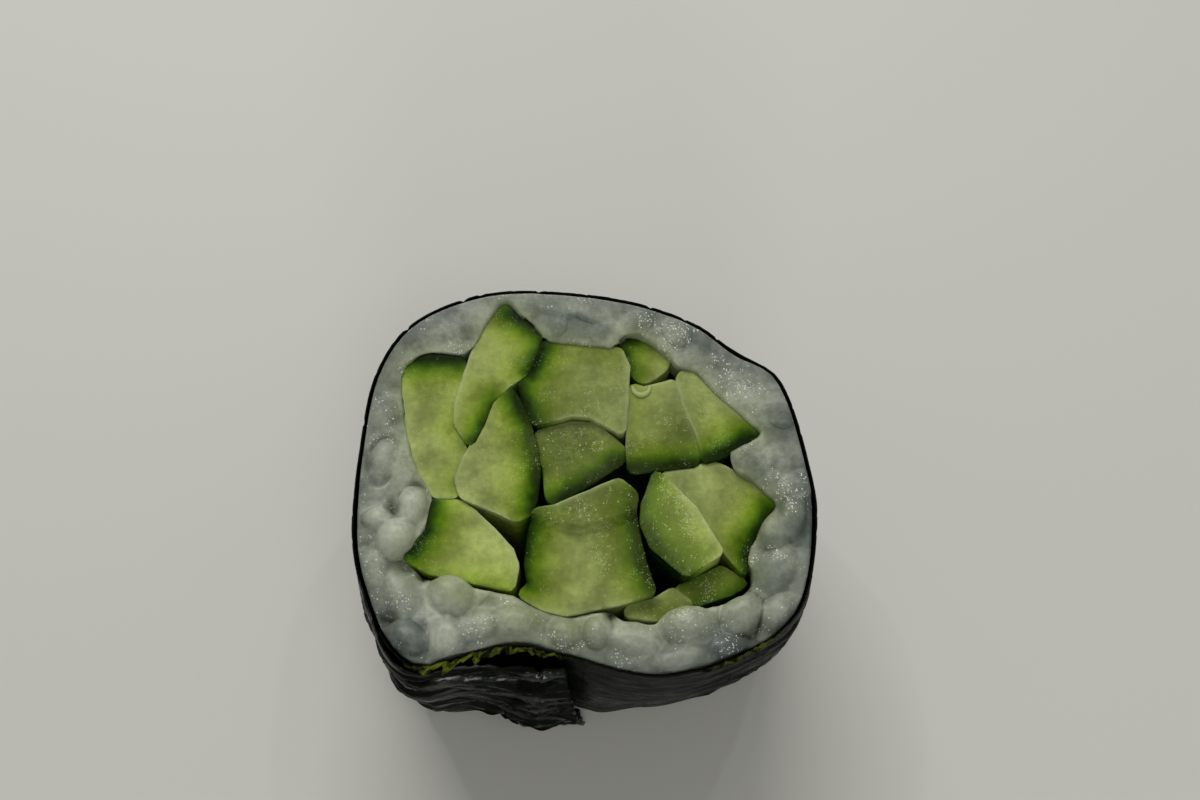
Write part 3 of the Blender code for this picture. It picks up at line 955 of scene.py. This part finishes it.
# %% Pressing and cutting the rice
VOXEL = 0.17 * MM
SMOOTHING_ROUNDS = 4
CUT_SQUEEZE = 0.45  # share of a grain's rise that is left in front
SMEAR_FLATTENS = 0.8  # how much of that share the smear takes at the back
CREASE_LEFT, BACK_CREASE_LEFT = 0.85, 0.04  # share of a crease's depth left in front and behind
PRESSED_DEPTH = 1.0  # how deep under the cut the knife's pressure reaches
BASE_CUT, BASE_SQUEEZE = 0.15, 0.1
NORI_CLEARANCE = 0.03
SINK, SINK_OVER = 3.0, 0.7  # how far the rice sinks once it is this far over a baton
KNIFE_SWAY, KNIFE_SWAY_LENGTH = 0.12, 4.0
PROUD_EDGE = 1.12  # a proud grain's hold on the skin ends here, in its own half widths
DENTS = [  # x, y, radius, depth, in millimetres
    (-13.2, -2.1, 0.5, 0.8), (-12.2, -6.1, 0.7, 0.7), (-14.9, -4.6, 0.5, 0.6),
    (-13.3, -9.7, 0.6, 0.8), (11.9, -10.8, 2.6, 0.8), (-11.0, -6.7, 0.45, 0.8),
    (1.9, -9.4, 0.5, 0.8), (10.9, -7.3, 0.5, 0.8),
]


def knife_plane(x, y):
    return RICE_TOP + KNIFE_SWAY * noise.noise(Vector((x, y, 3.0)) / KNIFE_SWAY_LENGTH)


def proud_share(point):
    """1 on a grain that stands proud, 0 away from it."""
    nearest = min((inverse @ point).length for inverse in GRAIN_INVERSES[:len(PROUD_GRAINS)])
    return 1.0 - smooth_step(1.0, PROUD_EDGE, nearest)


def pressed_height(start):
    """The height, in millimetres, of a point of the fused grains after the knife has passed."""
    x, y, z = start / MM
    if z <= RICE_TOP / 2:
        return z if z > BASE_CUT else BASE_CUT + (z - BASE_CUT) * BASE_SQUEEZE
    plane = knife_plane(x, y)
    if z > plane - PRESSED_DEPTH:
        above = CUT_SQUEEZE * (1.0 - SMEAR_FLATTENS * smear_at(y))
        below = CREASE_LEFT + (BACK_CREASE_LEFT - CREASE_LEFT) * smear_at(y)
        kept = above if z > plane else below
        z = plane + (z - plane) * (kept + (1.0 - kept) * proud_share(start))
    return z - dabs_at(x, y, DENTS)


def press(vert):
    start = vert.co.copy()
    x, y, _ = start / MM
    z = pressed_height(start)
    angle = math.atan2(y, x)
    room = wall_radius(angle, z) + NORI_GAP - NORI_CLEARANCE
    reach = min(math.hypot(x, y), room)
    x, y = reach * math.cos(angle), reach * math.sin(angle)
    over = -side_gap(x, y, z)
    if over > 0.0 and z > RICE_TOP / 2:
        z -= SINK * smooth_step(0.0, SINK_OVER, over) * (1.0 - proud_share(start))
    vert.co = Vector((x, y, z)) * MM


def make_grain_skin():
    bm = voxel_fused(grains_bmesh(), VOXEL)
    for _ in range(SMOOTHING_ROUNDS):
        bmesh.ops.smooth_vert(bm, verts=bm.verts, factor=0.5, use_axis_x=True, use_axis_y=True,
                              use_axis_z=True)
    for vert in bm.verts:
        press(vert)
    bm.normal_update()
    return bm


rice_bm = make_grain_skin()
print("points in the rice's skin:", len(rice_bm.verts))

# %% [markdown]
# Each point of the rice knows its grain and how close it is to the next one. The first gives every grain
# its own tint, and the second places painted shade in the crease between two grains. Rice lets light
# through, so painted shade darkens it near the nori, and a painted green bleed makes it greener near the
# cucumber, with more in a few listed dabs at the front. These are distances that the script can measure,
# so they are stored too.

# %% Which grain a point belongs to, and what is near it
NEIGHBOURS = 6
GRAIN_TREE = KDTree(len(GRAIN_PLACES))
for index, place in enumerate(GRAIN_PLACES):
    GRAIN_TREE.insert(place.translation, index)
GRAIN_TREE.balance()
GRAIN_WIDTHS = [grain[2] for grain in TOP_GRAINS + BASE_GRAINS]
tint_chance = random.Random(5)
GRAIN_TINTS = PROUD_TINTS + [tint_chance.random() for _ in GRAIN_PLACES[len(PROUD_TINTS):]]
SMEAR_BLENDS = 0.75  # how much of the difference between grains the smear takes away
CREASE_WIDTH = 0.32
DENT_SHADE = 0.8
NORI_SHADE_REACH, SMEARED_NORI_SHADE_REACH = 1.1, 0.5  # how far the painted nori shade reaches into the rice, and how much farther when smeared
GREEN_BLEED_REACH = 1.2
# The painted green bleed is added in these dabs at the front too, each (x, y, radius, strength).
GREEN_DABS = [(-7.8, -7.6, 1.6, 1.0), (-4.0, -9.0, 2.6, 0.8), (-0.5, -10.4, 2.2, 0.5)]
RICE_NUMBERS = ("grain_tint", "crease", "smeared", "painted_nori_shade", "painted_green_bleed")


def nearest_grain(point):
    """(number of the nearest grain, millimetres by which the next one is farther)."""
    near = sorted(((((GRAIN_INVERSES[k] @ point).length - 1.0) * GRAIN_WIDTHS[k], k)
                   for _, k, _ in GRAIN_TREE.find_n(point, NEIGHBOURS)))
    return near[0][1], near[1][0] - near[0][0]


def rice_numbers_at(point):
    """What the rice's material reads at a point, in the order of RICE_NUMBERS."""
    number, lead = nearest_grain(point)
    x, y, z = point / MM
    smeared = smear_at(y)
    whole = 1.0 - SMEAR_BLENDS * smeared
    wall = max(0.0, wall_radius(math.atan2(y, x), z) + NORI_GAP - math.hypot(x, y))
    green = math.exp(-max(0.0, side_gap(x, y, z)) / GREEN_BLEED_REACH) + dabs_at(x, y, GREEN_DABS)
    return (0.5 + (GRAIN_TINTS[number] - 0.5) * whole,
            math.exp(-lead / CREASE_WIDTH) * whole + DENT_SHADE * dabs_at(x, y, DENTS),
            smeared,
            math.exp(-wall / (NORI_SHADE_REACH + SMEARED_NORI_SHADE_REACH * smeared)),
            min(1.0, green))


def store_rice_numbers(bm):
    layers = [bm.verts.layers.float.new(name) for name in RICE_NUMBERS]
    for vert in bm.verts:
        for layer, number in zip(layers, rice_numbers_at(vert.co)):
            vert[layer] = number


store_rice_numbers(rice_bm)
print("tints:", len(GRAIN_TINTS), "green dabs:", len(GREEN_DABS))

# %% [markdown]
# The rice's colour is built in layers, as it looks on the plate: the body of the grain from deep to pale,
# then a painted green bleed near the cucumber, painted shade near the nori, painted shade in the creases
# and pits, a fine milky smear, and painted glints on top. Light goes deep into rice, so the subsurface
# share is large.

# %% Rice material
RICE_WHITE = (0.50, 0.54, 0.45)
RICE_PALE = (0.395, 0.430, 0.355)
RICE_DEEP = (0.095, 0.125, 0.115)
RICE_NORI_SHADE = (0.075, 0.09, 0.075)
RICE_SHADE = (0.120, 0.140, 0.100)
RICE_PIT_SHADE = (0.018, 0.022, 0.008)
RICE_GREEN_BLEED = (0.29, 0.335, 0.12)
RICE_GLINT_COLOUR = (0.95, 0.98, 0.95)


def grain_body(tree, place):
    """The grain's own colour, clouded where the knife smeared it, then a painted green bleed near the
    cucumber and painted shade near the nori.
    """
    cloud = add_ramp(tree, noise_at(tree, place, scale=380.0, detail=4.0, roughness=0.6),
                     [(0.40, 0.0), (0.60, 1.0)])
    clouds = scale_and_add(tree, read_number(tree, "smeared"), 0.35, 0.35)
    body = mix_colours(tree, clouds, read_number(tree, "grain_tint"), cloud)
    colour = add_ramp(tree, body, [(0.15, RICE_DEEP), (0.80, RICE_PALE), (1.0, RICE_WHITE)])
    for name, share, near in (("painted_green_bleed", 0.5, RICE_GREEN_BLEED), ("painted_nori_shade", 0.6, RICE_NORI_SHADE)):
        amount = math_node(tree, "MULTIPLY", read_number(tree, name), share)
        colour = mix_colours(tree, amount, colour, near)
    return colour


def shade_creases(tree, place, colour):
    """Painted shade in the creases, soft and broken up by noise, and nearly black painted shade in the
    pits where the crease number is high.
    """
    crease = read_number(tree, "crease")
    soft_shade = add_ramp(tree, crease, [(0.3, 0.0), (1.0, 0.6)])
    broken = add_ramp(tree, noise_at(tree, place, scale=700.0), [(0.40, 0.25), (0.6, 1.0)])
    colour = mix_colours(tree, math_node(tree, "MULTIPLY", soft_shade, broken), colour, RICE_SHADE)
    pit_shade = add_ramp(tree, math_node(tree, "MULTIPLY", crease, 0.5), [(0.45, 0.0), (0.75, 0.9)])
    return mix_colours(tree, pit_shade, colour, RICE_PIT_SHADE)


def make_rice_material():
    material = plain_material("rice", RICE_PALE, 0.38)
    tree = material.node_tree
    shader = tree.nodes["Principled BSDF"]
    place = object_place(tree)
    colour = shade_creases(tree, place, grain_body(tree, place))
    milky = noise_at(tree, place, scale=3000.0, detail=3.0, roughness=0.6)
    smear = add_ramp(tree, milky, [(0.3, 0.86), (0.7, 1.12)])
    colour = mix_colours(tree, 1.0, colour, smear, "MULTIPLY")
    # Painted glints: bright dots on the cut rice.
    glints = use_group(tree, PAINTED_GLINTS, Scale=8000.0, Cluster_Scale=420.0)
    colour = mix_colours(tree, glints, colour, RICE_GLINT_COLOUR)
    tree.links.new(colour, shader.inputs["Base Color"])
    shader.inputs["Subsurface Weight"].default_value = 0.7
    shader.inputs["Subsurface Radius"].default_value = (1.0, 1.0, 0.9)
    shader.inputs["Subsurface Scale"].default_value = 1.0 * MM
    shader.inputs["Specular IOR Level"].default_value = 0.35
    relief = use_group(tree, MOIST_RELIEF, Scale=1500.0)
    add_bump(tree, relief, distance=0.05 * MM, strength=0.5, shader=shader)
    return material


RICE = make_rice_material()
add_piece(rice_bm, "rice_grains", RICE, "rice")

# %% [markdown]
# The core is a merged copy of the plain rice, drawn in on every side so that the grains cover it.
# It carries a lumpy relief, because between two batons one can look down at it.

# %% The rice core
CORE_INSET = 0.45 * MM
CORE_DROP = 1.1 * MM
CORE_LUMP = 3.0 * MM
CORE_RELIEF = 0.35 * MM
CORE_SLICE = 1.2 * MM
CORE_BASE_ZONE, CORE_TOP_ZONE = (0.0, 1.5 * MM), (15.0 * MM, 18.0 * MM)  # where it is drawn in
CORE_NUMBERS = (0.3, 0.0, 0.0, 0.5, 0.5)  # one for each of RICE_NUMBERS: a deep tint, no crease shade or smear, and half of the painted nori shade and green bleed


def make_core():
    bm = merged_copy("rice")
    slice_along(bm, 2, steps_between(0.0, RICE_TOP * MM, CORE_SLICE))
    bm.normal_update()
    for vert in bm.verts:
        lump = noise.voronoi(vert.co / CORE_LUMP)[0][0]
        vert.co -= vert.normal * (CORE_INSET + CORE_RELIEF * lump)
        vert.co.z -= CORE_DROP * smooth_step(*CORE_TOP_ZONE, vert.co.z)
        vert.co.z += CORE_DROP * (1.0 - smooth_step(*CORE_BASE_ZONE, vert.co.z))
    for name, value in zip(RICE_NUMBERS, CORE_NUMBERS):
        store(bm, name, lambda vert: value)
    add_piece(bm, "rice_core", RICE, "rice")


make_core()

# %% [markdown]
# ## Nori
#
# The sheet goes once round the rice and its free end laps over the start in front. Damp nori
# clings and shrinks, so it is full of small creases that run round the roll, and its cut rims are
# slightly ragged. It starts as a flat grid, as the real sheet does, and every point is rolled up
# to its place. A cloth simulation could make the creases, but stretched noise gives them where
# they are wanted.
#
# Places round the roll are in degrees anticlockwise from +X. They go on past 360 in the second
# turn, so that the free end has numbers of its own. What happens only along a part of the way
# round is given as a stretch: where it sets in, from and to, and where it ends, from and to.

# %% The sheet and where it changes
SHEET_START, SHEET_END_TOP, SHEET_END_BASE = 218.0, 624.5, 630.0
SHEET_COLUMNS, SHEET_ROWS = 560, 84
ROW_CROWDING = 1.35  # rows lie closer together towards the cut rim
SHEET_TOP = 19.75
LEAST_HEIGHT = 0.02  # the sheet's base stays this far above the floor
SHEET_THICKNESS = 0.12
OUTSIDE = NORI_GAP + 0.17  # from the plain rice's wall to the outside of the first turn
RIGHT_CREASES = (296.0, 315.0, 335.0, 350.0)
POCKET_TEAR = (224.0, 232.0, 250.0, 274.0)
RIGHT_TEAR = (298.0, 304.0, 316.0, 324.0)
CLUMPED_TEAR = (226.0, 232.0, 240.0, 248.0)
BESIDE_FLAP = (258.0, 267.0, 273.0, 290.0)


def within(stretch, degrees):
    """1 inside a stretch of the way round and 0 outside it."""
    set_in_from, set_in_to, end_from, end_to = stretch
    return smooth_step(set_in_from, set_in_to, degrees) * (1.0 - smooth_step(end_from, end_to, degrees))


def torn_lip(degrees):
    """1 where the sheet's inner rim is torn and shows its thin green edge, 0 elsewhere."""
    return within(POCKET_TEAR, degrees) + 0.6 * within(RIGHT_TEAR, degrees)


print("degrees round the roll:", SHEET_END_BASE - SHEET_START)

# %% [markdown]
# A crease is a sharp ridge between wide troughs. The absolute value of a noise has just such
# sharp lines, and stretching the noise far along the sheet and little up it makes them run round
# the roll. Three of them are added: one long deep fold and two finer ones.

# %% Creases
MEAN_RADIUS = 14.5  # turns degrees into millimetres along the sheet
FOLDS = [  # depth, length round the roll, height up the wall, seed
    (0.50, 9.0, 2.4, 3.0), (0.34, 6.0, 1.1, 9.0), (0.16, 3.0, 0.6, 21.0),
]
FOLD_SHARPNESS = 2.6
FOLD_SLANT = 0.5
FOLD_SINK = 0.35  # how far the creased sheet draws in between its ridges
FOLD_WARP, WARP_LENGTH, WARP_HEIGHT = 1.3, 5.0, 4.0  # how far the folds stray from level
FLAP_CREASED_FROM, FLAP_CREASED_TO = 552.0, 572.0
LEAST_CREASING, FLAP_CREASING, RIGHT_CREASING = 0.08, 0.92, 0.38
CLING_ZONE, CLING = 3.0, 0.85  # near its top the sheet clings to the rice, and creases less
CLING_UNTIL, CLING_ENDS = 586.0, 600.0


def creasing(degrees):
    """How deep the creases are here, from 0 to 1: deepest on the flap."""
    flap = smooth_step(FLAP_CREASED_FROM, FLAP_CREASED_TO, degrees)
    return LEAST_CREASING + FLAP_CREASING * flap + RIGHT_CREASING * within(RIGHT_CREASES, degrees)


def crease_at(degrees, height):
    """Millimetres by which a crease stands out here."""
    round_way = math.radians(degrees) * MEAN_RADIUS
    stray = noise.noise(Vector((round_way / WARP_LENGTH, height / WARP_HEIGHT, 2.0)))
    warped = height + FOLD_WARP * stray
    total = -FOLD_SINK
    for depth, length, rise, seed in FOLDS:
        place = Vector((round_way / length, warped / rise + FOLD_SLANT * round_way / length, seed))
        total += depth * (1.0 - FOLD_SHARPNESS * abs(noise.noise(place)))
    clinging = smooth_step(SHEET_TOP - CLING_ZONE, SHEET_TOP, height)
    clinging *= 1.0 - smooth_step(CLING_UNTIL, CLING_ENDS, degrees)
    return creasing(degrees) * total * (1.0 - CLING * clinging)


print("creasing on the flap:", creasing(FLAP_CREASED_TO), "and at the back:", creasing(450.0))

# %% [markdown]
# The cut rim is nearly level, with small waves and nicks, and it frays where the sheet is torn.
# In front the free end stands off from the roll and leaves a pocket, hangs lower than the rest,
# and flares out at its base, with one long fold across it. Each of these is a distance that is
# added to the radius at which a point is rolled up.

# %% Rolling the sheet up
LIFT, LIFT_FROM, LIFT_TO = 0.55, 572.0, 588.0  # the second turn lies on the first
FLAP_CENTRE, FLAP_SPREAD = 609.0, 21.0
FLAP_STANDOFF = 1.0
FLAP_DROP = 0.8
FLAP_FLARE, FLARE_FROM, FLARE_TO = 2.2, 592.0, 618.0  # how far out the free end hangs at its base
FLAP_FOLD = (6.2, 0.55, 0.55)  # height, depth and width of the long fold across the free end
FOLD_FROM, FOLD_TO, FOLD_CLIMB = 580.0, 596.0, 0.05
FOLD_MIDDLE = 600.0  # where the fold is at its own height
DROP_FROM, DROP_TO = LIFT_TO - 4.0, FLAP_CENTRE - 10.0
END_WANDER, END_WANDER_TIMES = 1.1, 6.0  # how far the free end strays from straight, and how often
BASE_SPREAD, BASE_CURVE = 1.3, 1.3  # how far the wall beside the flap stands out at its base
LIP_FRAY, LEAST_FRAY = 0.55, 0.04  # how ragged the rim is where it is torn and elsewhere
LIP_LEAN = 0.75  # how far the torn stretches lean out, which shows their green edge from above
LIP_CLUMP = 0.9  # how much farther they lean at the left of the pocket, where they clump
LIP_DEPTH = 0.040  # share of the height that leans
LIP_GREEN_FROM, LIP_GREEN_TO = 0.955, 0.985  # shares of the height between which green sets in
WAVE_HEIGHT, WAVE_LENGTH = 0.14, 9.0
NICK_DEPTH, NICK_LENGTH, NICK_LEAST = 0.9, 2.2, 0.15
FINE_FRAY, COARSE_FRAY = 0.9, 2.6  # lengths of the fray, in degrees
LEAN_LEAST, LEAN_SPREAD = 0.55, 0.9  # how raggedly the torn rim leans
LEAN_LENGTH, LEAN_TIMES = 1.7, 20.0


def rim_height(degrees):
    """Height of the sheet's cut rim, with small waves, nicks and a fray where it is torn."""
    drop = FLAP_DROP * smooth_step(DROP_FROM, DROP_TO, degrees)
    wave = WAVE_HEIGHT * noise.noise(Vector((degrees / WAVE_LENGTH, 0.0, 5.0)))
    nick = max(0.0, noise.noise(Vector((degrees / NICK_LENGTH, 7.0, 0.0))) - NICK_LEAST) * NICK_DEPTH
    fray = noise.noise(Vector((degrees / FINE_FRAY, 3.0, 1.0)))
    fray += noise.noise(Vector((degrees / COARSE_FRAY, 8.0, 1.0)))
    return SHEET_TOP - drop + wave - nick + fray * (LEAST_FRAY + LIP_FRAY * torn_lip(degrees))


def lip_lean(degrees, up):
    """How far the torn rim leans out here, raggedly."""
    ragged = LEAN_SPREAD * noise.noise(Vector((degrees / LEAN_LENGTH, up * LEAN_TIMES, 4.0)))
    ragged += LEAN_LEAST
    clump = 1.0 + LIP_CLUMP * within(CLUMPED_TEAR, degrees)
    return LIP_LEAN * clump * ragged * torn_lip(degrees) * smooth_step(1.0 - LIP_DEPTH, 1.0, up)


def stand_off(degrees, up, height):
    """How far the sheet stands off from the roll here, apart from its creases."""
    lift = LIFT * smooth_step(LIFT_FROM, LIFT_TO, degrees)
    away = abs(degrees - FLAP_CENTRE) / FLAP_SPREAD
    lift += FLAP_STANDOFF * (1.0 - smooth_step(0.0, 1.0, away))
    lift += FLAP_FLARE * smooth_step(FLARE_FROM, FLARE_TO, degrees) * (1.0 - up)
    lift += BASE_SPREAD * within(BESIDE_FLAP, degrees) * (1.0 - up) ** BASE_CURVE
    lift += lip_lean(degrees, up)
    fold_height, fold_depth, fold_width = FLAP_FOLD
    fold = (height - fold_height - FOLD_CLIMB * (degrees - FOLD_MIDDLE)) / fold_width
    return lift + fold_depth * math.exp(-fold * fold) * smooth_step(FOLD_FROM, FOLD_TO, degrees)


def roll_up(along, up):
    """Where a point of the flat sheet comes to lie, from its shares of the length and the height."""
    end = SHEET_END_BASE + (SHEET_END_TOP - SHEET_END_BASE) * up
    end += END_WANDER * noise.noise(Vector((0.0, up * END_WANDER_TIMES, 2.0)))
    degrees = SHEET_START + (end - SHEET_START) * along
    height = max(LEAST_HEIGHT, rim_height(degrees) * up)
    angle = math.radians(degrees)
    radius = wall_radius(angle, height) + OUTSIDE + stand_off(degrees, up, height)
    radius += crease_at(degrees, height)
    return Vector((radius * math.cos(angle), radius * math.sin(angle), height)) * MM, degrees


def make_nori_sheet():
    bm = bmesh.new()
    bmesh.ops.create_grid(bm, x_segments=SHEET_COLUMNS, y_segments=SHEET_ROWS, size=0.5)
    thin = bm.verts.layers.float.new("thin")
    wet = bm.verts.layers.float.new("wet")
    for vert in bm.verts:
        up = 1.0 - max(0.0, 0.5 - vert.co.y) ** ROW_CROWDING
        vert.co, degrees = roll_up(vert.co.x + 0.5, up)
        vert[thin] = torn_lip(degrees) * smooth_step(LIP_GREEN_FROM, LIP_GREEN_TO, up)
        vert[wet] = creasing(degrees) ** 2
    bmesh.ops.recalc_face_normals(bm, faces=bm.faces)
    bmesh.ops.solidify(bm, geom=bm.faces[:], thickness=SHEET_THICKNESS * MM)
    bmesh.ops.recalc_face_normals(bm, faces=bm.faces)
    return bm


nori_bm = make_nori_sheet()
print("points in the sheet:", len(nori_bm.verts))

# %% [markdown]
# Nori is nearly black, with a trace of green, and where it is torn thin the green shows. It is dull
# when dry. A wet film lies on the creased parts in streaks that follow the creases, so the film is
# a coat with a noise stretched round the roll, and a finer one gives the crinkles under it.

# %% Nori material
NORI_DARK = (0.0025, 0.003, 0.0027)
NORI_GREEN = (0.007, 0.010, 0.005)
NORI_LIP = (0.110, 0.135, 0.012)
STREAK = (0.22, 0.22, 1.8)  # long round the roll and short up the wall


def nori_colour(tree, place):
    """Nearly black, with a trace of green in patches, and green at the torn lip."""
    cloud = noise_at(tree, place, scale=500.0, detail=4.0)
    colour = add_ramp(tree, cloud, [(0.35, NORI_DARK), (0.75, NORI_GREEN)])
    patches = add_ramp(tree, noise_at(tree, place, scale=1300.0, detail=4.0, roughness=0.6),
                       [(0.42, 0.0), (0.62, 1.0)])
    lip = math_node(tree, "MULTIPLY", read_number(tree, "thin"), patches)
    return mix_colours(tree, lip, colour, NORI_LIP)


def make_nori_material():
    material = plain_material("nori", NORI_DARK, 0.4)
    tree = material.node_tree
    shader = tree.nodes["Principled BSDF"]
    place = object_place(tree)
    mapping = add_node(tree, "ShaderNodeMapping", {"Scale": STREAK})
    tree.links.new(place, mapping.inputs["Vector"])
    streaks = mapping.outputs["Vector"]
    wet = read_number(tree, "wet")
    tree.links.new(nori_colour(tree, place), shader.inputs["Base Color"])
    rough = add_ramp(tree, noise_at(tree, place, scale=700.0, detail=3.0), [(0.3, 0.24), (0.7, 0.42)])
    tree.links.new(rough, shader.inputs["Roughness"])
    shader.inputs["Specular IOR Level"].default_value = 0.02
    film = add_ramp(tree, noise_at(tree, streaks, scale=1100.0, detail=4.0), [(0.47, 0.02), (0.64, 0.85)])
    tree.links.new(math_node(tree, "MULTIPLY", wet, film), shader.inputs["Coat Weight"])
    shader.inputs["Coat Roughness"].default_value = 0.16
    crinkle = noise_at(tree, streaks, scale=900.0, detail=4.0, roughness=0.6)
    crinkle = math_node(tree, "MULTIPLY", crinkle, wet)
    grain = math_node(tree, "MULTIPLY", use_group(tree, MOIST_RELIEF, Scale=1400.0), 0.25)
    relief = math_node(tree, "ADD", crinkle, grain)
    add_bump(tree, relief, distance=0.35 * MM, strength=0.7, shader=shader)
    return material


NORI = make_nori_material()
add_piece(nori_bm, "nori_sheet", NORI, "nori")
